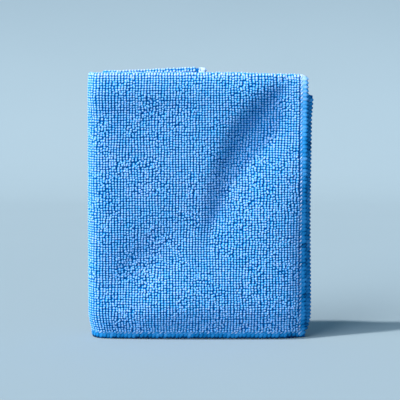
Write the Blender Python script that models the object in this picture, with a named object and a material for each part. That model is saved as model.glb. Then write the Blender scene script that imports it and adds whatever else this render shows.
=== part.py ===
"""A looped microfibre cloth with overlocked edges, folded up and stood on its bottom hem.

The cloth is folded in three in height, as front, middle and back leaves. It is then doubled over
to the left, and its far half is tucked in twice more, which leaves a short end leaf inside.
X runs along the front from left to right, Y from the front to the back, and Z up.
"""

import math
from collections import namedtuple

import bmesh
import bpy

# The flat cloth.
CLOTH_WIDTH = 0.3984
SHEET = 0.0013
LAYER_PITCH = 0.00165

# The folded cloth. Heights are those of its outer faces.
STACK_WIDTH = 0.1130
TOP_FOLD = 0.1380
BOTTOM_FOLD = 0.0035
TOP_HEM = 0.1285
CORNER_RADIUS = 0.0062
LEFT_FOLD_ROOM = 0.0102
RIGHT_FOLD_REACH = 0.0005

# Places that follow from them.
STACK_DEPTH = 11 * LAYER_PITCH
TIGHT_TURN = LAYER_PITCH / 2
WIDE_TURN = 2.5 * LAYER_PITCH
HALF_WIDTH = STACK_WIDTH / 2
CORNER_START = -HALF_WIDTH + SHEET / 2 + CORNER_RADIUS
RIGHT_TURN_START = HALF_WIDTH + RIGHT_FOLD_REACH - WIDE_TURN - SHEET / 2
LEFT_TURN_START = -HALF_WIDTH + LEFT_FOLD_ROOM
TOP_TURN_START = TOP_FOLD - SHEET / 2 - TIGHT_TURN
BOTTOM_TURN_START = BOTTOM_FOLD + SHEET / 2 + TIGHT_TURN

COLOUR = (0.09, 0.33, 0.72, 1.0)
ROUGHNESS = 0.95
SMOOTH_BELOW_DEGREES = 50

Section = namedtuple("Section", "length turn cells")
Dent = namedtuple("Dent", "x z along across tilt depth")
Level = namedtuple("Level", "place top bottom")
Slide = namedtuple("Slide", "place reach")


def straight(length, cells):
    return Section(length, 0.0, cells)


def arc(radius, degrees, cells):
    turn = math.radians(degrees)
    return Section(radius * abs(turn), turn, cells)


# From the bottom hem up the front leaf, down the middle leaf, and up the back leaf to the top hem.
HEIGHT_PATH = (
    straight(TOP_TURN_START, 12),
    arc(TIGHT_TURN, -180, 4),
    straight(TOP_TURN_START - BOTTOM_TURN_START, 12),
    arc(TIGHT_TURN, 180, 4),
    straight(TOP_HEM - BOTTOM_TURN_START, 11),
)

# From the right hem along the front, round to the back, then in and back twice, seen from above.
BEFORE_END_LEAF = (
    straight(HALF_WIDTH - CORNER_START, 11),
    arc(CORNER_RADIUS, -90, 3),
    straight(STACK_DEPTH - 2 * CORNER_RADIUS, 1),
    arc(CORNER_RADIUS, -90, 3),
    straight(RIGHT_TURN_START - CORNER_START, 10),
    arc(WIDE_TURN, -180, 6),
    straight(RIGHT_TURN_START - LEFT_TURN_START, 9),
    arc(TIGHT_TURN, 180, 4),
)
END_LEAF = CLOTH_WIDTH - sum(section.length for section in BEFORE_END_LEAF)
WIDTH_PATH = BEFORE_END_LEAF + (straight(END_LEAF, 5),)
CLOTH_HEIGHT = sum(section.length for section in HEIGHT_PATH)

FRONT_PANEL = WIDTH_PATH[0].length
BACK_PANEL_START = sum(section.length for section in WIDTH_PATH[:4])
END_LEAF_START = CLOTH_WIDTH - END_LEAF
BACK_LEAF_GROUND = CLOTH_HEIGHT - TOP_HEM

# How far the top folds and the bottom edge stand off their heights, by the place along the width.
LEVELS = (
    Level(place=0.0, top=-0.0018, bottom=0.0),
    Level(place=0.0042, top=-0.0006, bottom=0.0),
    Level(place=0.0450, top=0.0003, bottom=0.0),
    Level(place=FRONT_PANEL, top=0.0002, bottom=0.0),
    Level(place=FRONT_PANEL + 0.012, top=0.0008, bottom=0.0),
    Level(place=BACK_PANEL_START + 0.004, top=-0.0003, bottom=0.0),
    Level(place=BACK_PANEL_START + 0.030, top=-0.0020, bottom=0.0),
    Level(place=END_LEAF_START - 0.030, top=-0.0018, bottom=0.0),
    Level(place=END_LEAF_START, top=0.0013, bottom=0.0003),
    Level(place=CLOTH_WIDTH, top=0.0030, bottom=0.0010),
)

# How far the right hem slides out, by the place up the height path: the back leaf shows past the front.
SLIDES = (
    Slide(place=0.0, reach=0.0011),
    Slide(place=TOP_TURN_START, reach=0.0004),
    Slide(place=BACK_LEAF_GROUND - 0.012, reach=0.0006),
    Slide(place=BACK_LEAF_GROUND, reach=0.0018),
    Slide(place=BACK_LEAF_GROUND + 0.012, reach=0.0037),
    Slide(place=BACK_LEAF_GROUND + 0.080, reach=0.0026),
    Slide(place=CLOTH_HEIGHT - 0.014, reach=0.0026),
    Slide(place=CLOTH_HEIGHT, reach=0.0032),
)
SLIDE_FADES_OVER = 0.040

# Soft troughs (depth above 0) and swells of the front, long ones tilted from the X axis. They fade
# towards the back.
DENTS = (
    Dent(x=0.032, z=0.118, along=0.020, across=0.011, tilt=50, depth=0.0018),
    Dent(x=0.015, z=0.085, along=0.022, across=0.011, tilt=70, depth=0.0018),
    Dent(x=-0.033, z=0.038, along=0.022, across=0.012, tilt=42, depth=0.0014),
    Dent(x=-0.026, z=0.120, along=0.026, across=0.012, tilt=4, depth=0.0008),
    Dent(x=0.040, z=0.098, along=0.022, across=0.015, tilt=75, depth=-0.0006),
    Dent(x=-0.010, z=0.024, along=0.030, across=0.012, tilt=6, depth=-0.0010),
    Dent(x=0.000, z=0.000, along=0.200, across=0.009, tilt=0, depth=0.0022),
    Dent(x=0.000, z=0.142, along=0.200, across=0.009, tilt=0, depth=0.0022),
    Dent(x=-0.062, z=0.070, along=0.090, across=0.009, tilt=90, depth=0.0022),
    Dent(x=0.061, z=0.035, along=0.042, across=0.009, tilt=90, depth=0.0022),
)
DENTS_FADE = 0.55

# Broad swells of the back.
BACK_SWELLS = (
    Dent(x=0.018, z=0.088, along=0.034, across=0.024, tilt=60, depth=0.0012),
    Dent(x=-0.026, z=0.046, along=0.030, across=0.022, tilt=35, depth=-0.0010),
)

# Right of the end leaf the panels behind it close up on the front one.
CLOSING = 2.8 * LAYER_PITCH
CLOSING_GAP = 0.002
CLOSING_LENGTH = 0.034
LAST_FRONT_LAYER = 2.4 * LAYER_PITCH
FIRST_BACK_LAYER = 5.6 * LAYER_PITCH

# The whole stack leans a touch to the right as it rises.
LEAN = 0.0050


def walk(path, distance, heading):
    """The place and heading after a distance along a path that starts at (0, 0)."""
    across = up = 0.0
    left = distance
    for section in path:
        step = min(left, section.length)
        turned = section.turn * step / section.length
        chord = step if turned == 0 else 2 * section.length / section.turn * math.sin(turned / 2)
        across += chord * math.cos(heading + turned / 2)
        up += chord * math.sin(heading + turned / 2)
        heading += turned
        left -= step
        if left <= 0:
            break
    return across, up, heading


def beside(path, distance, heading, offset):
    """The point at an offset to the right of a path."""
    across, up, heading = walk(path, distance, heading)
    return across + offset * math.sin(heading), up - offset * math.cos(heading)


def ease(share):
    share = min(max(share, 0.0), 1.0)
    return share * share * (3 - 2 * share)


def read(table, place, column):
    """A column of a table, eased between the rows on either side of a place."""
    below = [row for row in table if row.place <= place][-1:] or list(table[:1])
    above = [row for row in table if row.place > place][:1] or list(table[-1:])
    first = getattr(below[0], column)
    last = getattr(above[0], column)
    span = above[0].place - below[0].place
    return first if span == 0 else first + (last - first) * ease((place - below[0].place) / span)


def pressed(dents, x, z):
    """The summed depth of long soft dents at a point of the face."""
    total = 0.0
    for dent in dents:
        tilt = math.radians(dent.tilt)
        along = (x - dent.x) * math.cos(tilt) + (z - dent.z) * math.sin(tilt)
        across = (z - dent.z) * math.cos(tilt) - (x - dent.x) * math.sin(tilt)
        total += dent.depth * math.exp(-((along / dent.along) ** 2 + (across / dent.across) ** 2) / 2)
    return total


def folded(width, height, offset):
    """Where a point of the flat cloth goes: its width and height on it, and its offset from mid-sheet."""
    depth, z = beside(HEIGHT_PATH, height, math.pi / 2, offset)
    slide = read(SLIDES, height, "reach") * (1 - ease(width / SLIDE_FADES_OVER))
    x, y = beside(WIDTH_PATH, width - slide, math.pi, depth)
    x += HALF_WIDTH
    rise = z / TOP_FOLD
    z += (1 - rise) * read(LEVELS, width, "bottom") + rise * read(LEVELS, width, "top")
    closed = ease((x - LEFT_TURN_START - END_LEAF - CLOSING_GAP) / CLOSING_LENGTH)
    y -= CLOSING * closed * ease((y - LAST_FRONT_LAYER) / (FIRST_BACK_LAYER - LAST_FRONT_LAYER))
    back = y / STACK_DEPTH
    y += (1 - DENTS_FADE * back) * pressed(DENTS, x, z) + back * pressed(BACK_SWELLS, x, z)
    return x + LEAN * (z - TOP_FOLD / 2), y, z


def stations(path):
    """The distances along a path at which the cloth has a row of points."""
    places = [0.0]
    for section in path:
        start = places[-1]
        places += [start + section.length * (i + 1) / section.cells for i in range(section.cells)]
    return places


def cloth_mesh():
    """One closed sheet: a grid of points on each face of the cloth, joined round its four hems."""
    widths = stations(WIDTH_PATH)
    heights = stations(HEIGHT_PATH)
    bm = bmesh.new()
    faces = [
        [[bm.verts.new(folded(width, height, offset)) for height in heights] for width in widths]
        for offset in (-SHEET / 2, SHEET / 2)
    ]
    outer, inner = faces
    for i in range(len(widths) - 1):
        for j in range(len(heights) - 1):
            bm.faces.new((outer[i][j], outer[i][j + 1], outer[i + 1][j + 1], outer[i + 1][j]))
            bm.faces.new((inner[i][j], inner[i + 1][j], inner[i + 1][j + 1], inner[i][j + 1]))
    last_width = len(widths) - 1
    last_height = len(heights) - 1
    for i in range(last_width):
        bm.faces.new((outer[i][0], outer[i + 1][0], inner[i + 1][0], inner[i][0]))
        bm.faces.new(
            (outer[i + 1][last_height], outer[i][last_height], inner[i][last_height], inner[i + 1][last_height])
        )
    for j in range(last_height):
        bm.faces.new((outer[0][j + 1], outer[0][j], inner[0][j], inner[0][j + 1]))
        bm.faces.new(
            (outer[last_width][j], outer[last_width][j + 1], inner[last_width][j + 1], inner[last_width][j])
        )
    bmesh.ops.triangulate(bm, faces=bm.faces)
    bmesh.ops.recalc_face_normals(bm, faces=bm.faces)
    centre_on_base(bm)
    mesh = bpy.data.meshes.new("cloth")
    bm.to_mesh(mesh)
    bm.free()
    mesh.shade_smooth()
    mesh.set_sharp_from_angle(angle=math.radians(SMOOTH_BELOW_DEGREES))
    return mesh


def centre_on_base(bm):
    """Moves the cloth so that the origin is at the middle of the underside of its box."""
    for axis in (0, 1):
        places = [vert.co[axis] for vert in bm.verts]
        middle = (min(places) + max(places)) / 2
        for vert in bm.verts:
            vert.co[axis] -= middle


def microfibre():
    material = bpy.data.materials.new("microfibre")
    material.use_nodes = True
    shader = material.node_tree.nodes["Principled BSDF"]
    shader.inputs["Base Color"].default_value = COLOUR
    shader.inputs["Roughness"].default_value = ROUGHNESS
    shader.inputs["Metallic"].default_value = 0.0
    return material


for old in list(bpy.data.objects):
    bpy.data.objects.remove(old, do_unlink=True)

cloth = bpy.data.objects.new("cloth", cloth_mesh())
cloth.data.materials.append(microfibre())
bpy.context.scene.collection.objects.link(cloth)
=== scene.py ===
import math
from collections import namedtuple

import bpy
import numpy as np
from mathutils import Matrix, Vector


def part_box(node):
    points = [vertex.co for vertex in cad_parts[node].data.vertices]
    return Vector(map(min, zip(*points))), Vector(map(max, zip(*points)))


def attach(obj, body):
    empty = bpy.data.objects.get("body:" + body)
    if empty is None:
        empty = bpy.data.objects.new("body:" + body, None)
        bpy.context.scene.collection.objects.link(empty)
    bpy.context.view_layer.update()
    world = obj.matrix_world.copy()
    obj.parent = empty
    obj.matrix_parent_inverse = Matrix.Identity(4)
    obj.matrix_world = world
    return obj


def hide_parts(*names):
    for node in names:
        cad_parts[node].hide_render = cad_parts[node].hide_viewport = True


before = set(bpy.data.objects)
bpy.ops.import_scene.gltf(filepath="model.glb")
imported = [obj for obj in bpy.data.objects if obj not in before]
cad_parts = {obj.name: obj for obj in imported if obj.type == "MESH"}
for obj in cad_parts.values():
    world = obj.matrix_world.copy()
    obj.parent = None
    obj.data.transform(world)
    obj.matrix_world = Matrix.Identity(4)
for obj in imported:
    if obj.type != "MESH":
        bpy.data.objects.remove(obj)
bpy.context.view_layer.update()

# The cloth: one square of looped microfibre, cut once and overlocked all round. It is folded in
# three in height, doubled over to the left, and its far half is tucked in twice more. It stands on
# its bottom hem, whose thread lies on the ground. Lengths are in metres.
CLOTH_WIDTH = 0.3984
SHEET = 0.0013
LAYER_PITCH = 0.00165
STACK_WIDTH = 0.1130
TOP_FOLD = 0.1380
BOTTOM_FOLD = 0.0035
TOP_HEM = 0.1285
CORNER_RADIUS = 0.0062
LEFT_FOLD_ROOM = 0.0102
RIGHT_FOLD_REACH = 0.0005

STACK_DEPTH = 11 * LAYER_PITCH
TIGHT_TURN = LAYER_PITCH / 2
WIDE_TURN = 2.5 * LAYER_PITCH
HALF_WIDTH = STACK_WIDTH / 2
CORNER_START = -HALF_WIDTH + SHEET / 2 + CORNER_RADIUS
RIGHT_TURN_START = HALF_WIDTH + RIGHT_FOLD_REACH - WIDE_TURN - SHEET / 2
LEFT_TURN_START = -HALF_WIDTH + LEFT_FOLD_ROOM
TOP_TURN_START = TOP_FOLD - SHEET / 2 - TIGHT_TURN
BOTTOM_TURN_START = BOTTOM_FOLD + SHEET / 2 + TIGHT_TURN

Section = namedtuple("Section", "length turn")
Dent = namedtuple("Dent", "x z along above below tilt depth")
Level = namedtuple("Level", "place top bottom")
Slide = namedtuple("Slide", "place reach")
Edge = namedtuple("Edge", "place half")


def straight(length):
    return Section(length, 0.0)


def arc(radius, degrees):
    turn = math.radians(degrees)
    return Section(radius * abs(turn), turn)


# From the bottom hem up the front leaf, down the middle leaf, and up the back leaf to the top hem.
HEIGHT_PATH = (
    straight(TOP_TURN_START),
    arc(TIGHT_TURN, -180),
    straight(TOP_TURN_START - BOTTOM_TURN_START),
    arc(TIGHT_TURN, 180),
    straight(TOP_HEM - BOTTOM_TURN_START),
)

# From the right hem along the front, round to the back, then in and back twice, seen from above.
BEFORE_END_LEAF = (
    straight(HALF_WIDTH - CORNER_START),
    arc(CORNER_RADIUS, -90),
    straight(STACK_DEPTH - 2 * CORNER_RADIUS),
    arc(CORNER_RADIUS, -90),
    straight(RIGHT_TURN_START - CORNER_START),
    arc(WIDE_TURN, -180),
    straight(RIGHT_TURN_START - LEFT_TURN_START),
    arc(TIGHT_TURN, 180),
)
END_LEAF = CLOTH_WIDTH - sum(section.length for section in BEFORE_END_LEAF)
WIDTH_PATH = BEFORE_END_LEAF + (straight(END_LEAF),)
CLOTH_HEIGHT = sum(section.length for section in HEIGHT_PATH)
TOP_TURN_END = HEIGHT_PATH[0].length + HEIGHT_PATH[1].length
TOP_FOLD_MIDDLE = (TOP_TURN_START + TOP_TURN_END) / 2
BACK_LEAF_GROUND = CLOTH_HEIGHT - TOP_HEM
FRONT_PANEL = WIDTH_PATH[0].length
BACK_PANEL_START = sum(section.length for section in WIDTH_PATH[:4])
LEFT_FOLD_MIDDLE = (FRONT_PANEL + BACK_PANEL_START) / 2
BACK_PANEL_END = BACK_PANEL_START + WIDTH_PATH[4].length
INNER_PANEL_START = BACK_PANEL_END + WIDTH_PATH[5].length
END_LEAF_START = CLOTH_WIDTH - END_LEAF

# How far the top folds and the bottom edge stand off their heights, by the place along the width.
LEVELS = (
    Level(place=0.0, top=-0.0018, bottom=0.0),
    Level(place=0.0042, top=-0.0006, bottom=0.0),
    Level(place=0.0450, top=0.0003, bottom=0.0),
    Level(place=FRONT_PANEL, top=0.0002, bottom=0.0),
    Level(place=FRONT_PANEL + 0.012, top=0.0008, bottom=0.0),
    Level(place=BACK_PANEL_START + 0.004, top=-0.0003, bottom=0.0),
    Level(place=BACK_PANEL_START + 0.030, top=-0.0020, bottom=0.0),
    Level(place=END_LEAF_START - 0.030, top=-0.0018, bottom=0.0),
    Level(place=END_LEAF_START, top=0.0013, bottom=0.0003),
    Level(place=CLOTH_WIDTH, top=0.0030, bottom=0.0010),
)

# How far the right hem slides out, by the place up the height path.
SLIDES = (
    Slide(place=0.0, reach=0.0011),
    Slide(place=TOP_TURN_START, reach=0.0004),
    Slide(place=BACK_LEAF_GROUND - 0.012, reach=0.0006),
    Slide(place=BACK_LEAF_GROUND, reach=0.0018),
    Slide(place=BACK_LEAF_GROUND + 0.012, reach=0.0037),
    Slide(place=BACK_LEAF_GROUND + 0.080, reach=0.0026),
    Slide(place=CLOTH_HEIGHT - 0.014, reach=0.0026),
    Slide(place=CLOTH_HEIGHT, reach=0.0032),
)
SLIDE_FADES_OVER = 0.040

# Soft troughs (depth above 0) and swells of the front. Each runs along its tilt from the X axis, and
# may be steeper above that line than below it.
DENTS = (
    Dent(x=0.0380, z=0.120, along=0.013, above=0.005, below=0.015, tilt=47, depth=0.0058),
    Dent(x=0.0250, z=0.1025, along=0.013, above=0.005, below=0.016, tilt=61, depth=0.0054),
    Dent(x=0.0145, z=0.076, along=0.019, above=0.005, below=0.016, tilt=76, depth=0.0044),
    Dent(x=-0.031, z=0.034, along=0.024, above=0.010, below=0.011, tilt=42, depth=0.0032),
    Dent(x=-0.026, z=0.117, along=0.026, above=0.006, below=0.020, tilt=4, depth=0.0016),
    Dent(x=0.042, z=0.098, along=0.022, above=0.013, below=0.015, tilt=75, depth=-0.0008),
    Dent(x=0.026, z=0.066, along=0.030, above=0.011, below=0.016, tilt=80, depth=-0.0012),
    Dent(x=-0.010, z=0.022, along=0.030, above=0.010, below=0.010, tilt=6, depth=-0.0012),
    Dent(x=0.000, z=0.000, along=0.200, above=0.007, below=0.007, tilt=0, depth=0.0048),
    Dent(x=0.000, z=0.1420, along=0.200, above=0.007, below=0.0065, tilt=0, depth=0.0060),
    Dent(x=-0.0620, z=0.070, along=0.090, above=0.007, below=0.007, tilt=90, depth=0.0052),
    Dent(x=0.0620, z=0.035, along=0.044, above=0.008, below=0.008, tilt=90, depth=0.0062),
)
DENTS_FADE = 0.55

# Broad swells of the back.
BACK_SWELLS = (
    Dent(x=0.018, z=0.088, along=0.034, above=0.024, below=0.024, tilt=60, depth=0.0012),
    Dent(x=-0.026, z=0.046, along=0.030, above=0.022, below=0.022, tilt=35, depth=-0.0010),
)

# Right of the end leaf the panels behind it close up on the front one.
CLOSING = 2.8 * LAYER_PITCH
CLOSING_GAP = 0.002
CLOSING_LENGTH = 0.034
LAST_FRONT_LAYER = 2.4 * LAYER_PITCH
FIRST_BACK_LAYER = 5.6 * LAYER_PITCH
LEAN = 0.0050

# At the left fold the hem turns more sharply than the pile, so the bottom corner draws in.
HEM_TUCK = 0.0017
TUCK_HEIGHT = 0.013
TUCK_START = 0.036
TUCK_LENGTH = 0.018

# The knitted ground, without its loops, and its padded hem: half its thickness by the place in from
# the edge. Its cut edge stops short, so that the hem's thread has room to pass round it.
GROUND_HALF = 0.00034
PRESSED_HALF = 0.00058
EDGE_ROOM = 0.00035
HEM_WIDTH = 0.0039
HEM_EDGE = (
    Edge(place=0.0, half=0.00014),
    Edge(place=0.0003, half=0.00046),
    Edge(place=0.0010, half=0.00054),
    Edge(place=HEM_WIDTH - 0.0014, half=0.00054),
    Edge(place=HEM_WIDTH - 0.0004, half=0.00034),
)
LOOPS_END_OVER = 0.004
GROUND_CELL = 0.0030
FOLD_CELL = 0.0004
FEWEST_CELLS = 4
SAME_PLACE = 1e-6
EDGE_CELLS = (0.0, 0.0001, 0.0002, 0.0003, 0.0010, 0.0018, 0.0025, 0.0030, 0.0035, HEM_WIDTH)


def ease(share):
    """A share from 0 to 1, with a soft start and a soft end."""
    share = np.clip(share, 0.0, 1.0)
    return share * share * (3 - 2 * share)


def read(table, place, column):
    """The values of a table's column at some places, eased from row to row."""
    value = getattr(table[0], column) + 0.0 * place
    for row, following in zip(table, table[1:]):
        step = getattr(following, column) - getattr(row, column)
        value += step * ease((place - row.place) / (following.place - row.place))
    return value


def walk(path, distance, heading):
    """The places and headings at some distances along a path that starts at (0, 0)."""
    across = 0.0 * distance
    up = 0.0 * distance
    heading = heading + 0.0 * distance
    left = distance
    for section in path:
        step = left if section is path[-1] else np.minimum(left, section.length)
        turned = section.turn * step / section.length
        chord = step if section.turn == 0 else 2 * section.length / section.turn * np.sin(turned / 2)
        across = across + chord * np.cos(heading + turned / 2)
        up = up + chord * np.sin(heading + turned / 2)
        heading = heading + turned
        left = left - step
    return across, up, heading


def beside(path, distance, heading, offset):
    """The points at some offsets to the right of a path."""
    across, up, heading = walk(path, distance, heading)
    return across + offset * np.sin(heading), up - offset * np.cos(heading)


def pressed(dents, x, z):
    """The summed depth of the dents at points of the face."""
    total = 0.0 * x
    for dent in dents:
        tilt = math.radians(dent.tilt)
        along = (x - dent.x) * math.cos(tilt) + (z - dent.z) * math.sin(tilt)
        across = (z - dent.z) * math.cos(tilt) - (x - dent.x) * math.sin(tilt)
        across = across / np.where(across > 0, dent.above, dent.below)
        total += dent.depth * np.exp(-((along / dent.along) ** 2 + across**2) / 2)
    return total


def folded(width, height, offset):
    """Where points of the flat cloth go: their width and height on it, and offset from mid-sheet."""
    depth, z = beside(HEIGHT_PATH, height, math.pi / 2, offset)
    slide = read(SLIDES, height, "reach") * (1 - ease(width / SLIDE_FADES_OVER))
    x, y = beside(WIDTH_PATH, width - slide, math.pi, depth)
    x = x + HALF_WIDTH
    x = x + HEM_TUCK * (1 - ease(z / TUCK_HEIGHT)) * ease((-x - TUCK_START) / TUCK_LENGTH)
    rise = z / TOP_FOLD
    z = z + (1 - rise) * read(LEVELS, width, "bottom") + rise * read(LEVELS, width, "top")
    closed = ease((x - LEFT_TURN_START - END_LEAF - CLOSING_GAP) / CLOSING_LENGTH)
    y = y - CLOSING * closed * ease((y - LAST_FRONT_LAYER) / (FIRST_BACK_LAYER - LAST_FRONT_LAYER))
    back = y / STACK_DEPTH
    y = y + (1 - DENTS_FADE * back) * pressed(DENTS, x, z) + back * pressed(BACK_SWELLS, x, z)
    return np.stack([x + LEAN * (z - TOP_FOLD / 2), y, z], axis=-1)


def stations(path, length):
    """Where the ground has rows of points along a path: close at its folds, closest at its hems."""
    near_hem = EDGE_ROOM + HEM_WIDTH + FOLD_CELL
    rows = [EDGE_ROOM + cell for cell in EDGE_CELLS] + [length - EDGE_ROOM - cell for cell in EDGE_CELLS]
    start = 0.0
    for section in path:
        cell = FOLD_CELL if section.turn else GROUND_CELL
        count = max(round(section.length / cell), FEWEST_CELLS)
        places = [start + section.length * i / count for i in range(count + 1)]
        rows += [place for place in places if near_hem < place < length - near_hem]
        start += section.length
    rows = sorted(rows)
    return np.array([here for before, here in zip([-1.0] + rows, rows) if here - before > SAME_PLACE])


def place_on_frame(points):
    """Moves points of the folded cloth to where the frame holds it."""
    return points + HOLD


lowest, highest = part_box("cloth")
widths = stations(WIDTH_PATH, CLOTH_WIDTH)
heights = stations(HEIGHT_PATH, CLOTH_HEIGHT)
flat_widths, flat_heights = np.meshgrid(widths, heights, indexing="ij")
faces = [folded(flat_widths, flat_heights, offset) for offset in (-SHEET / 2, SHEET / 2)]
own_low = np.min([face.min(axis=(0, 1)) for face in faces], axis=0)
own_high = np.max([face.max(axis=(0, 1)) for face in faces], axis=0)
HOLD = (np.array(lowest) + np.array(highest)) / 2 - (own_low + own_high) / 2
HOLD[2] = lowest[2]


def make_piece(name, points, polygons, material):
    """An object from arrays of points and polygons, smooth all over, in its material."""
    mesh = bpy.data.meshes.new(name)
    mesh.from_pydata(points, [], polygons)
    mesh.shade_smooth()
    mesh.materials.append(material)
    piece = bpy.data.objects.new(name, mesh)
    bpy.context.scene.collection.objects.link(piece)
    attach(piece, "root")
    return piece


class Wire:
    """A socket in a material. Sums on it add Math nodes, and node() adds any other node."""

    def __init__(self, socket):
        self.socket = socket

    def node(self, kind, settings=None, sockets=None, output=0):
        """A new node's output: its settings, then the values or wires of its sockets."""
        made = self.socket.id_data.nodes.new(kind)
        for name, value in (settings or {}).items():
            if name == "stops":
                for index, (position, colour) in enumerate(value):
                    element = made.color_ramp.elements
                    stop = element[index] if index < len(element) else element.new(position)
                    stop.position = position
                    stop.color = colour
            else:
                setattr(made, name, value)
        for name, value in (sockets or {}).items():
            if isinstance(value, Wire):
                self.socket.id_data.links.new(value.socket, made.inputs[name])
            else:
                made.inputs[name].default_value = value
        return Wire(made.outputs[output])

    def maths(self, operation, *values):
        return self.node("ShaderNodeMath", {"operation": operation}, dict(enumerate(values)))

    def __add__(self, other):
        return self.maths("ADD", self, other)

    def __sub__(self, other):
        return self.maths("SUBTRACT", self, other)

    def __rsub__(self, other):
        return self.maths("SUBTRACT", other, self)

    def __mul__(self, other):
        return self.maths("MULTIPLY", self, other)

    def __pow__(self, other):
        return self.maths("POWER", self, other)

    __radd__ = __add__
    __rmul__ = __mul__

    def clamped(self):
        return self.node("ShaderNodeClamp", {}, {"Value": self})

    def ramp(self, *stops):
        """The colour at this place on a ramp of (place, colour) stops."""
        return self.node("ShaderNodeValToRGB", {"stops": stops}, {"Fac": self})

    def noise(self, scale, detail=2.0, roughness=0.5):
        sockets = {"Vector": self, "Scale": scale, "Detail": detail, "Roughness": roughness}
        return self.node("ShaderNodeTexNoise", {}, sockets)

    def stored(self, name):
        """A value that the mesh stores for each point."""
        return self.node("ShaderNodeAttribute", {"attribute_name": name}, {}, "Fac")


MATT_SPECULAR = 0.05
SHEEN_ROUGHNESS = 0.5


def new_finish(name, roughness, sheen, sheen_tint):
    """A material with a matt shader that may have a soft sheen: it, the shader, and the places on it."""
    material = bpy.data.materials.new(name)
    material.use_nodes = True
    shader = material.node_tree.nodes["Principled BSDF"]
    shader.inputs["Roughness"].default_value = roughness
    shader.inputs["Specular IOR Level"].default_value = MATT_SPECULAR
    shader.inputs["Sheen Weight"].default_value = sheen
    shader.inputs["Sheen Roughness"].default_value = SHEEN_ROUGHNESS
    shader.inputs["Sheen Tint"].default_value = sheen_tint
    coordinates = material.node_tree.nodes.new("ShaderNodeTexCoord")
    return material, shader, Wire(coordinates.outputs["Object"])


def finish_with(shader, colour, bump_height, strength, distance):
    """Joins a colour and a bump to a shader."""
    links = shader.id_data.links
    links.new(colour.socket, shader.inputs["Base Color"])
    sockets = {"Height": bump_height, "Strength": strength, "Distance": distance}
    normal = bump_height.node("ShaderNodeBump", {}, sockets)
    links.new(normal.socket, shader.inputs["Normal"])


# The ground's colours: its own blue, darkened as painted shade for the holes between the loops.
GROUND_PAINTED_SHADE_DEEP = (0.0, 0.075, 0.28, 1.0)
GROUND_PAINTED_SHADE_BLUE = (0.002, 0.16, 0.50, 1.0)


def ground_finish():
    """The knitted ground and pressed loops: their own blue darkened as painted shade for the holes between
    the loops, pebbled, a little uneven in colour.
    """
    material, shader, place = new_finish(
        "knitted_ground", roughness=0.95, sheen=0.05, sheen_tint=(0.10, 0.50, 1.0, 1.0)
    )
    sockets = {"Vector": place, "Scale": 760.0, "Smoothness": 0.6}
    pebbles = place.node("ShaderNodeTexVoronoi", {"feature": "SMOOTH_F1"}, sockets)
    blotches = place.noise(scale=90.0, detail=3.0)
    fibres = place.noise(scale=4200.0, detail=3.0, roughness=0.7)
    shade = ((1 - pebbles) * 0.8 + blotches * 0.5 + fibres * 0.2 - 0.45).clamped()
    colour = shade.ramp((0.0, GROUND_PAINTED_SHADE_DEEP), (1.0, GROUND_PAINTED_SHADE_BLUE))
    finish_with(shader, colour, (1 - pebbles) + fibres * 0.25, strength=0.5, distance=0.0004)
    return material


def closed_sheet(outer, inner):
    """The points and four-sided faces of a sheet between two grids of points, closed round its edges."""
    columns, rows = outer.shape[:2]
    number = np.arange(columns * rows).reshape(columns, rows)
    back = number + columns * rows

    def strip(a, b, c, d):
        return np.stack([part.ravel() for part in (a, b, c, d)], axis=1)

    polygons = [
        strip(number[:-1, :-1], number[1:, :-1], number[1:, 1:], number[:-1, 1:]),
        strip(back[:-1, :-1], back[:-1, 1:], back[1:, 1:], back[1:, :-1]),
        strip(number[1:, 0], number[:-1, 0], back[:-1, 0], back[1:, 0]),
        strip(number[:-1, -1], number[1:, -1], back[1:, -1], back[:-1, -1]),
        strip(number[0, :-1], number[0, 1:], back[0, 1:], back[0, :-1]),
        strip(number[-1, 1:], number[-1, :-1], back[-1, :-1], back[-1, 1:]),
    ]
    points = np.concatenate([outer.reshape(-1, 3), inner.reshape(-1, 3)])
    return points, np.concatenate(polygons)


inset = np.minimum.reduce(
    [flat_widths, CLOTH_WIDTH - flat_widths, flat_heights, CLOTH_HEIGHT - flat_heights]
) - EDGE_ROOM
hem_half = read(HEM_EDGE, inset, "half")
without_loops = ease((flat_heights - TOP_TURN_END) / LOOPS_END_OVER)
face_half = GROUND_HALF + (PRESSED_HALF - GROUND_HALF) * without_loops
outer_half = np.where(inset < HEM_WIDTH, hem_half, face_half)
inner_half = np.where(inset < HEM_WIDTH, hem_half, PRESSED_HALF)
points, polygons = closed_sheet(
    place_on_frame(folded(flat_widths, flat_heights, -outer_half)),
    place_on_frame(folded(flat_widths, flat_heights, inner_half)),
)
cloth = make_piece("cloth_ground", points, polygons, ground_finish())
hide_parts("cloth")

# The looped pile: soft bundles of split microfibre knitted into the ground in close ribs. Each
# bundle stands up as a small rounded loop, and they crowd and lean where the cloth has been handled.
# Their places drift in swells, each with a length, a reach and a seed. Turns are in degrees.
Swell = namedtuple("Swell", "length reach seed")
RIB_PITCH = 0.00150
LOOP_PITCH = 0.00125
PILE_BESIDE_HEM = HEM_WIDTH + 0.0003
PILE_ABOVE_HEM = HEM_WIDTH - 0.0004
PILE_PAST_FOLD = 0.0062
LOOP_HALF_WIDTH = 0.00080
LOOP_HALF_LENGTH = 0.00070
LOOP_HEIGHT = 0.00090
LOOP_SIDES = 8
SHOULDER_REACH = 0.80
SHOULDER_HEIGHT = 0.68
LOOP_LEAN = 0.00018
LOOP_TURN = -14
ROOT_DEPTH = 0.00018

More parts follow.
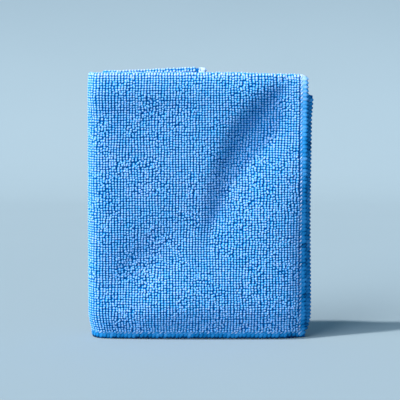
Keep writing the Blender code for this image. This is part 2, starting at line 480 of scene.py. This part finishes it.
LOOSENESS = 0.72
TIGHTEST = 0.38
LOOSEST = 1.2
LOOSE_PATCHES = Swell(length=0.0065, reach=0.60, seed=11)
RIB_SWAY = Swell(length=0.016, reach=0.0004, seed=16)
SHIFTS_ACROSS = (Swell(length=0.0042, reach=0.00018, seed=12), Swell(length=0.0026, reach=0.00030, seed=17))
SHIFTS_UP = (Swell(length=0.0046, reach=0.00020, seed=13), Swell(length=0.0024, reach=0.00034, seed=18))
TWISTS = Swell(length=0.0050, reach=38, seed=14)
STRETCHES = Swell(length=0.0026, reach=0.34, seed=15)
STRAY_SEED = 4
STRAY_ACROSS = 0.00014
STRAY_UP = 0.00016
STRAY_TURN = 16
STRAY_BREADTH = 0.10
STRAY_HEIGHT = 0.16
STRAY_TINT = 0.22
LOWEST_LOOP = 0.55
HIGHEST_LOOP = 1.4

# On the folds the loops are pressed lower. They are also painted paler there, as painted light where the
# folds turn up and to the left towards the lamps.
TOP_FOLD_BAND = 0.0030
LEFT_FOLD_BAND = 0.010
PRESSED_ON_LEFT_FOLD = 0.55
PRESSED_ON_TOP_FOLD = 0.2
MIDDLE_TINT = 0.5
PAINTED_LIGHT_ON_TOP_FOLD = 0.8
PAINTED_LIGHT_ON_LEFT_FOLD = 0.1

# The pile's colours: the deep root is painted shade in the holes between the loops, the mid blue is their
# own colour, and the pale tip is a painted highlight.
PILE_ROOT_PAINTED_SHADE = (0.0, 0.180, 0.52, 1.0)
PILE_BLUE = (0.015, 0.35, 0.76, 1.0)
PILE_TIP_PAINTED_HIGHLIGHT = (0.50, 0.58, 0.90, 1.0)


def drift(swell, width, height):
    """A smooth random value over the flat cloth, up to the swell's reach either way.

    It runs between the random values of a square lattice that goes a little past the cloth.
    """
    count = int(CLOTH_WIDTH / swell.length) + 5
    lattice = np.random.default_rng(swell.seed).uniform(-1, 1, (count, count))
    across = width / swell.length + 1
    up = height / swell.length + 1
    column = np.floor(across).astype(int)
    row = np.floor(up).astype(int)
    right = ease(across - column)
    above = ease(up - row)
    lower = lattice[column, row] * (1 - right) + lattice[column + 1, row] * right
    upper = lattice[column, row + 1] * (1 - right) + lattice[column + 1, row + 1] * right
    return swell.reach * (lower * (1 - above) + upper * above)


def band(place, middle, reach):
    """About 1 on a fold, and about 0 from somewhat past a reach from its middle."""
    return np.exp(-(((place - middle) / reach) ** 4))


def pile_finish():
    """The loops: deep blue at the root as painted shade between them, pale at the tip as a painted
    highlight, each a little different, with fine fibres.
    """
    material, shader, place = new_finish(
        "looped_pile", roughness=0.92, sheen=0.05, sheen_tint=(0.35, 0.65, 1.0, 1.0)
    )
    reach = place.stored("reach")
    # Each loop's own tone, with painted light on the folds.
    tone_and_painted_light = place.stored("tone_and_painted_light")
    fibres = place.noise(scale=5200.0, detail=3.0, roughness=0.7)
    blotches = place.noise(scale=70.0, detail=3.0)
    # Painted light: paler towards each loop's tip, darker towards its root.
    pale = (reach ** 2.0 * 1.12 + fibres * 0.25 + tone_and_painted_light * 0.22 + blotches * 0.20 - 0.42).clamped()
    colour = pale.ramp((0.0, PILE_ROOT_PAINTED_SHADE), (0.45, PILE_BLUE), (1.0, PILE_TIP_PAINTED_HIGHLIGHT))
    finish_with(shader, colour, fibres, strength=0.45, distance=0.0002)
    return material


loop_columns = int((CLOTH_WIDTH - 2 * PILE_BESIDE_HEM) / RIB_PITCH)
loop_rows = int((TOP_TURN_END + PILE_PAST_FOLD - PILE_ABOVE_HEM) / LOOP_PITCH)
loop_width, loop_height = np.meshgrid(
    PILE_BESIDE_HEM + RIB_PITCH * (np.arange(loop_columns) + 0.5),
    PILE_ABOVE_HEM + LOOP_PITCH * (np.arange(loop_rows) + 0.5),
    indexing="ij",
)
flat_place = (loop_width.ravel(), loop_height.ravel())
loop_width, loop_height = flat_place
stray = np.random.default_rng(STRAY_SEED).normal(0.0, 1.0, (6, loop_width.size))
loose = np.clip(LOOSENESS + drift(LOOSE_PATCHES, *flat_place), TIGHTEST, LOOSEST)
shift_across = sum(drift(swell, *flat_place) for swell in SHIFTS_ACROSS) + STRAY_ACROSS * stray[0]
shift_up = sum(drift(swell, *flat_place) for swell in SHIFTS_UP) + STRAY_UP * stray[1]
loop_centre_width = loop_width + loose * shift_across + drift(RIB_SWAY, *flat_place)
loop_centre_height = loop_height + loose * shift_up
loop_turn = np.radians(LOOP_TURN + loose * (drift(TWISTS, *flat_place) + STRAY_TURN * stray[2]))
loop_length = LOOP_HALF_LENGTH * (1 + loose * np.abs(drift(STRETCHES, *flat_place)))
loop_breadth = LOOP_HALF_WIDTH * (1 + loose * STRAY_BREADTH * stray[3])
on_left_fold = band(loop_width, LEFT_FOLD_MIDDLE, LEFT_FOLD_BAND)
on_top_fold = band(loop_height, TOP_FOLD_MIDDLE, TOP_FOLD_BAND)
loop_reach = LOOP_HEIGHT * np.clip(1 + loose * STRAY_HEIGHT * stray[4], LOWEST_LOOP, HIGHEST_LOOP)
loop_reach *= (1 - PRESSED_ON_LEFT_FOLD * on_left_fold) * (1 - PRESSED_ON_TOP_FOLD * on_top_fold)
# Each loop's tint: its own random tone, plus painted light on the folds.
loop_tone_and_painted_light = np.clip(MIDDLE_TINT + STRAY_TINT * stray[5], 0.0, 1.0)
loop_tone_and_painted_light += PAINTED_LIGHT_ON_TOP_FOLD * on_top_fold + PAINTED_LIGHT_ON_LEFT_FOLD * on_left_fold


def store(piece, name, values):
    """Keeps a value for each point of a piece, for its material to read."""
    piece.data.attributes.new(name, "FLOAT", "POINT").data.foreach_set("value", values)


def raise_loops(name, chosen, material):
    """One piece of the chosen loops, each a rounded dome with its skirt sunk in the ground."""
    around = 2 * math.pi * np.arange(LOOP_SIDES) / LOOP_SIDES
    ring = np.stack([np.cos(around), np.sin(around)], axis=1)
    reach = np.concatenate([np.zeros(LOOP_SIDES), np.full(LOOP_SIDES, SHOULDER_HEIGHT), [1.0]])
    outline = np.concatenate([ring, ring * SHOULDER_REACH, [[0.0, 0.0]]])
    breadth = loop_breadth[chosen, None] * outline[None, :, 0]
    length = loop_length[chosen, None] * outline[None, :, 1]
    turn = loop_turn[chosen, None]
    lean = LOOP_LEAN * reach[None, :]
    width = loop_centre_width[chosen, None] + breadth * np.cos(turn) - length * np.sin(turn) - lean
    height = loop_centre_height[chosen, None] + breadth * np.sin(turn) + length * np.cos(turn) + lean
    stand = GROUND_HALF - ROOT_DEPTH + (loop_reach[chosen, None] + ROOT_DEPTH) * reach[None, :]
    points = place_on_frame(folded(width, height, -stand))
    count = points.shape[0]
    points = points.reshape(-1, 3)
    here = np.arange(LOOP_SIDES)
    there = (here + 1) % LOOP_SIDES
    sides = np.stack([here, there, there + LOOP_SIDES, here + LOOP_SIDES], axis=1)
    top = np.full(LOOP_SIDES, 2 * LOOP_SIDES)
    caps = np.stack([here + LOOP_SIDES, there + LOOP_SIDES, top], axis=1)
    starts = (2 * LOOP_SIDES + 1) * np.arange(count)
    walls = (sides[None] + starts[:, None, None]).reshape(-1, 4)
    tips = (caps[None] + starts[:, None, None]).reshape(-1, 3)
    piece = make_piece(name, points, walls.tolist() + tips.tolist(), material)
    store(piece, "reach", np.tile(reach, count))
    store(piece, "tone_and_painted_light", np.repeat(loop_tone_and_painted_light[chosen], 2 * LOOP_SIDES + 1))
    return piece


pile = pile_finish()
up_the_face = loop_height < TOP_TURN_START
pile_zones = {
    "pile_front": up_the_face & (loop_width < FRONT_PANEL),
    "pile_left_fold": up_the_face & (loop_width >= FRONT_PANEL) & (loop_width < BACK_PANEL_START),
    "pile_back": up_the_face & (loop_width >= BACK_PANEL_START) & (loop_width < BACK_PANEL_END),
    "pile_right_turn": up_the_face & (loop_width >= BACK_PANEL_END)
    & (loop_width < INNER_PANEL_START + 2 * RIB_PITCH),
    "pile_top_folds": ~up_the_face,
}
cloth_parts = [raise_loops(name, np.flatnonzero(chosen), pile) for name, chosen in pile_zones.items()]

# The overlocked hem: flat looper threads cross the padded edge side by side and pass round it, drawn
# together at the cut edge, so that small gaps show there. A needle thread holds them down on both
# faces, and its short slanted stitches show along the pile.
Stitch = namedtuple("Stitch", "inward rise spread")
STITCH_PITCH = 0.00206
THREAD_HALF_WIDTH = 0.00118
THREAD_HALF_DEPTH = 0.00020
THREAD_SIDES = 8
THREAD_SLANT = 0.0026
HEM_END_ROOM = 0.0015
STRAY_STITCH = 0.00007
THREAD_COURSE = (
    Stitch(inward=HEM_WIDTH - 0.0001, rise=0.00010, spread=0.45),
    Stitch(inward=HEM_WIDTH - 0.0005, rise=0.00046, spread=0.70),
    Stitch(inward=0.0026, rise=0.00060, spread=1.0),
    Stitch(inward=0.0012, rise=0.00062, spread=1.0),
    Stitch(inward=0.0004, rise=0.00054, spread=0.80),
    Stitch(inward=0.0, rise=0.00034, spread=0.58),
    Stitch(inward=-0.00017, rise=0.0, spread=0.50),
)
BEAD_RINGS = ((-1.0, 0.12), (-0.75, 0.62), (-0.3, 0.95), (0.3, 0.95), (0.75, 0.62), (1.0, 0.12))
Bead = namedtuple("Bead", "inward rise half_length half_width slant")
NEEDLE_STITCH = Bead(inward=0.0030, rise=0.00072, half_length=0.00088, half_width=0.00042, slant=34)
EDGE_KNOT = Bead(inward=-0.00022, rise=0.0, half_length=0.00066, half_width=0.00034, slant=0)

# The thread's shade from 0 (deep blue) to 1 (palest). It is paler towards the top fold, and palest over the
# fold itself as painted light, where the fold faces up to the lamps. It is darker as painted shade where it
# passes round the cut edge, most on the bottom hem, which stands on the floor under the overhanging loops.
SHADE = 0.21
SHADE_LOST_TO_EDGE_SHADE = 0.07
STRAY_SHADE = 0.07
PAINTED_LIGHT_OVER_FOLD = 0.4
PALER_NEAR_FOLD = 0.24
PALER_NEAR_FOLD_LENGTH = 0.060
NEEDLE_SHEEN_HIGHLIGHT = 0.78
NEEDLE_HIGHLIGHT_LOST_TO_EDGE_SHADE = 0.33
STRAY_NEEDLE_SHADE = 0.12
EDGE_SHADE_BAND = 0.0016

THREAD_SHADOW = (0.0, 0.020, 0.09, 1.0)
THREAD_DEEP = (0.0, 0.185, 0.50, 1.0)
THREAD_BLUE = (0.045, 0.31, 0.69, 1.0)
THREAD_PALE = (0.52, 0.62, 0.88, 1.0)


def thread_finish():
    """Bulky overlock thread: mid blue, soft, with fine plies along it, pale needle stitches painted as a
    sheen highlight, and painted shade in its grooves and round its cut edge.
    """
    material, shader, place = new_finish(
        "overlock_thread", roughness=0.8, sheen=0.05, sheen_tint=(0.25, 0.60, 1.0, 1.0)
    )
    across = place.stored("across")
    tone_and_painted_light = place.stored("tone_and_painted_light")
    painted_edge_shade = place.stored("painted_edge_shade")
    plies = across.maths("SINE", across * 21.0) * 0.5 + 0.5
    # Painted shade in the grooves between neighbouring threads.
    groove_shade = across * across
    fuzz = place.noise(scale=3000.0, detail=3.0, roughness=0.7)
    blotches = place.noise(scale=520.0, detail=3.0)
    lit = plies * 0.12 + fuzz * 0.40 + blotches * 0.5 + tone_and_painted_light - 0.35
    # Painted shade: darker in the grooves between the threads and round the cut edge.
    shade = (lit - groove_shade * 0.20 - painted_edge_shade * 0.38).clamped()
    colour = shade.ramp(
        (0.0, THREAD_SHADOW), (0.18, THREAD_DEEP), (0.45, THREAD_BLUE), (1.0, THREAD_PALE)
    )
    finish_with(shader, colour, plies * 0.5 + fuzz, strength=0.5, distance=0.0002)
    return material


thread = thread_finish()
under = tuple(Stitch(stitch.inward, -stitch.rise, stitch.spread) for stitch in THREAD_COURSE[-2::-1])
course = THREAD_COURSE + under
course_inward, course_rise, course_spread = np.array(course).T


def tubes(inward, rise, along, tone_and_painted_light):
    """Tubes of thread, as places in from the edge, above mid-sheet and along the hem.

    It gives their points and faces, and each point's place across its thread and its tone with painted
    light and shade.
    """
    sides = along.shape[2]
    number = np.arange(along.size).reshape(along.shape)
    turned = np.roll(number, -1, axis=2)
    walls = [part.ravel() for part in (number[:, :-1], turned[:, :-1], turned[:, 1:], number[:, 1:])]
    ends = np.concatenate([number[:, 0, ::-1], number[:, -1]])
    polygons = np.stack(walls, axis=1).tolist() + ends.tolist()
    around = np.cos(2 * math.pi * np.arange(sides) / sides)
    across = np.broadcast_to(around, along.shape)
    tints = np.broadcast_to(tone_and_painted_light[:, None, None], along.shape)
    places = [np.broadcast_to(part, along.shape) for part in (inward, rise, along)]
    return np.stack(places, axis=-1).reshape(-1, 3), polygons, across.ravel(), tints.ravel()


def looper_threads(along, tone_and_painted_light):
    """The flat threads that wrap the edge, one at each place along it."""
    around = 2 * math.pi * np.arange(THREAD_SIDES) / THREAD_SIDES
    tangent_in = np.gradient(course_inward)
    tangent_rise = np.gradient(course_rise)
    size = np.hypot(tangent_in, tangent_rise)
    depth = (THREAD_HALF_DEPTH * course_spread / size)[:, None] * np.sin(around)
    walked = np.append(0.0, np.cumsum(np.hypot(np.diff(course_inward), np.diff(course_rise))))
    slant = THREAD_SLANT * walked / walked[-1]
    breadth = THREAD_HALF_WIDTH * course_spread[:, None] * np.cos(around)
    inward = course_inward[:, None] + tangent_rise[:, None] * depth
    rise = course_rise[:, None] - tangent_in[:, None] * depth
    return tubes(inward, rise, along[:, None, None] + (slant[:, None] + breadth)[None], tone_and_painted_light)


def beads(kind, along, tone_and_painted_light, face):
    """Short bulges of thread of one kind, on one face (1 outer, -1 inner)."""
    around = 2 * math.pi * np.arange(THREAD_SIDES) / THREAD_SIDES
    lengthwise, girth = np.array(BEAD_RINGS).T
    slant = math.radians(kind.slant)
    lengthwise = kind.half_length * lengthwise[:, None]
    sideways = kind.half_width * girth[:, None] * np.cos(around)
    inward = kind.inward - lengthwise * math.sin(slant) + sideways * math.cos(slant)
    rise = face * (kind.rise + 0.7 * kind.half_width * girth[:, None] * np.sin(around))
    offset = lengthwise * math.cos(slant) + sideways * math.sin(slant)
    return tubes(inward, rise, along[:, None, None] + offset[None], tone_and_painted_light)


def sew_hem(name, length, to_flat, seed, edge_shade=0.3):
    """One edge's threads as one piece. to_flat turns places inward and along to the cloth's. The edge's
    share of painted shade darkens its threads, most round the cut edge.
    """
    rng = np.random.default_rng(seed)
    count = int((length - 2 * HEM_END_ROOM) / STITCH_PITCH)
    along = HEM_END_ROOM + STITCH_PITCH * np.arange(count) + rng.normal(0, STRAY_STITCH, count)
    height_up = to_flat(0.0, along)[1]
    over_fold = band(height_up, TOP_FOLD_MIDDLE, TOP_FOLD_BAND)
    near_fold = ease(1 - np.abs(height_up - TOP_FOLD_MIDDLE) / PALER_NEAR_FOLD_LENGTH)
    shade = rng.normal(SHADE - SHADE_LOST_TO_EDGE_SHADE * edge_shade, STRAY_SHADE, count)
    # Painted light over the top fold, where the hem faces up to the lamps.
    shade = np.clip(shade + PAINTED_LIGHT_OVER_FOLD * over_fold + PALER_NEAR_FOLD * near_fold, 0, 1)
    # The needle stitches' paleness is a painted sheen highlight, dimmed by the edge's painted shade.
    needle_sheen = rng.normal(NEEDLE_SHEEN_HIGHLIGHT - NEEDLE_HIGHLIGHT_LOST_TO_EDGE_SHADE * edge_shade, STRAY_NEEDLE_SHADE, count)
    needle_sheen = np.clip(needle_sheen, 0, 1)
    sets = (
        looper_threads(along, shade),
        beads(NEEDLE_STITCH, along + STITCH_PITCH / 2, needle_sheen, 1),
        beads(NEEDLE_STITCH, along + THREAD_SLANT + STITCH_PITCH / 2, needle_sheen, -1),
        beads(EDGE_KNOT, along + THREAD_SLANT / 2, shade, 1),
    )
    starts = np.cumsum([0] + [len(points) for points, _, _, _ in sets])
    inward, rise, place = np.concatenate([points for points, _, _, _ in sets]).T
    width, height = to_flat(inward + EDGE_ROOM, place)
    points = place_on_frame(folded(width, height, -rise))
    points[:, 2] = np.maximum(points[:, 2], lowest[2])
    polygons = [[int(i + start) for i in face] for part, start in zip(sets, starts) for face in part[1]]
    piece = make_piece(name, points, polygons, thread)
    # Painted shade that darkens the threads round the cut edge, fading inward.
    store(piece, "painted_edge_shade", edge_shade * (1 - ease((inward + EDGE_ROOM) / EDGE_SHADE_BAND)))
    store(piece, "across", np.concatenate([across for _, _, across, _ in sets]))
    store(piece, "tone_and_painted_light", np.concatenate([tone_and_painted_light for _, _, _, tone_and_painted_light in sets]))
    return piece


cloth_parts += [
    sew_hem("hem_right", CLOTH_HEIGHT, lambda inward, along: (inward, along), 21),
    # The bottom hem takes the full painted shade: it stands on the floor, under the overhanging loops.
    sew_hem("hem_bottom", CLOTH_WIDTH, lambda inward, along: (along, inward), 22, edge_shade=1.0),
    sew_hem("hem_end", CLOTH_HEIGHT, lambda inward, along: (CLOTH_WIDTH - inward, along), 23),
    sew_hem("hem_top", CLOTH_WIDTH, lambda inward, along: (along, CLOTH_HEIGHT - inward), 24),
]

# The floor it stands on: a plain pale sweep, curved up behind so that no edge shows.
FLOOR_SIZE = 3.0
SWEEP_START = 0.75
SWEEP_RADIUS = 0.5
SWEEP_HEIGHT = 2.0
SWEEP_STEPS = 17
FLOOR_DARK = (0.24, 0.30, 0.34, 1.0)
FLOOR_LIGHT = (0.25, 0.31, 0.35, 1.0)


def floor_finish():
    """Smooth matt paper in one pale colour."""
    material, shader, place = new_finish(
        "pale_floor", roughness=0.9, sheen=0.0, sheen_tint=(1.0, 1.0, 1.0, 1.0)
    )
    colour = place.noise(scale=6.0).ramp((0.0, FLOOR_DARK), (1.0, FLOOR_LIGHT))
    finish_with(shader, colour, place.noise(scale=900.0), strength=0.05, distance=0.0002)
    return material


def sweep_profile():
    """From the front edge of the floor to its top edge behind: (y, z)."""
    bend = [
        (SWEEP_START + SWEEP_RADIUS * math.sin(turn), SWEEP_RADIUS * (1 - math.cos(turn)))
        for turn in np.linspace(0, math.pi / 2, SWEEP_STEPS)
    ]
    return [(-FLOOR_SIZE, 0.0)] + bend + [(SWEEP_START + SWEEP_RADIUS, SWEEP_HEIGHT)]


floor_points = [(x, y, z) for y, z in sweep_profile() for x in (-FLOOR_SIZE, FLOOR_SIZE)]
floor_faces = [(2 * i, 2 * i + 1, 2 * i + 3, 2 * i + 2) for i in range(len(floor_points) // 2 - 1)]
floor_mesh = bpy.data.meshes.new("floor")
floor_mesh.from_pydata(floor_points, [], floor_faces)
floor_mesh.shade_smooth()
floor_mesh.materials.append(floor_finish())
floor = bpy.data.objects.new("floor", floor_mesh)
bpy.context.scene.collection.objects.link(floor)

# The light: a fairly small key lamp high on the left in front, a broad lower fill lamp further round
# to the front, and a soft pale sky all round. Angles are in degrees.
KEY_ELEVATION = 60
KEY_AZIMUTH = 25
KEY_STRENGTH = 3.6
KEY_SPREAD = 3
KEY_COLOUR = (1.0, 0.98, 0.95)
FILL_FROM = Vector((-0.66, -0.52, 0.50))
FILL_STRENGTH = 3.6
FILL_SPREAD = 50
FILL_COLOUR = (0.90, 0.96, 1.0)
SKY_COLOUR = (0.38, 0.74, 1.0, 1.0)
SKY_STRENGTH = 0.46


def hang_lamp(name, strength, spread, colour, direction):
    """A far lamp that shines from a direction."""
    lamp = bpy.data.objects.new(name, bpy.data.lights.new(name, "SUN"))
    lamp.data.energy = strength
    lamp.data.angle = math.radians(spread)
    lamp.data.color = colour
    lamp.rotation_mode = "QUATERNION"
    lamp.rotation_quaternion = direction.to_track_quat("Z", "Y")
    bpy.context.scene.collection.objects.link(lamp)


elevation = math.radians(KEY_ELEVATION)
azimuth = math.radians(KEY_AZIMUTH)
key_from = Vector((
    -math.cos(azimuth) * math.cos(elevation),
    -math.sin(azimuth) * math.cos(elevation),
    math.sin(elevation),
))
hang_lamp("key", KEY_STRENGTH, KEY_SPREAD, KEY_COLOUR, key_from)
hang_lamp("fill", FILL_STRENGTH, FILL_SPREAD, FILL_COLOUR, FILL_FROM)

world = bpy.data.worlds.new("soft_sky")
world.use_nodes = True
background = world.node_tree.nodes["Background"]
background.inputs["Color"].default_value = SKY_COLOUR
background.inputs["Strength"].default_value = SKY_STRENGTH
bpy.context.scene.world = world
bpy.context.scene.view_settings.view_transform = "Standard"

# The camera looks a little down on the face of the cloth from straight in front, with a long lens.
CAMERA_ELEVATION = 5.0
CAMERA_DISTANCE = 0.573
CAMERA_LENS = 100.8
AIM = Vector((0.0004, lowest[1], 0.07325))

camera = bpy.data.objects.new("camera", bpy.data.cameras.new("camera"))
camera.data.lens = CAMERA_LENS
camera.data.clip_start = 0.01
pitch = math.radians(CAMERA_ELEVATION)
backward = Vector((0.0, -math.cos(pitch), math.sin(pitch)))
camera.location = AIM + CAMERA_DISTANCE * backward
camera.rotation_mode = "QUATERNION"
camera.rotation_quaternion = backward.to_track_quat("Z", "Y")
bpy.context.scene.collection.objects.link(camera)
bpy.context.scene.camera = camera
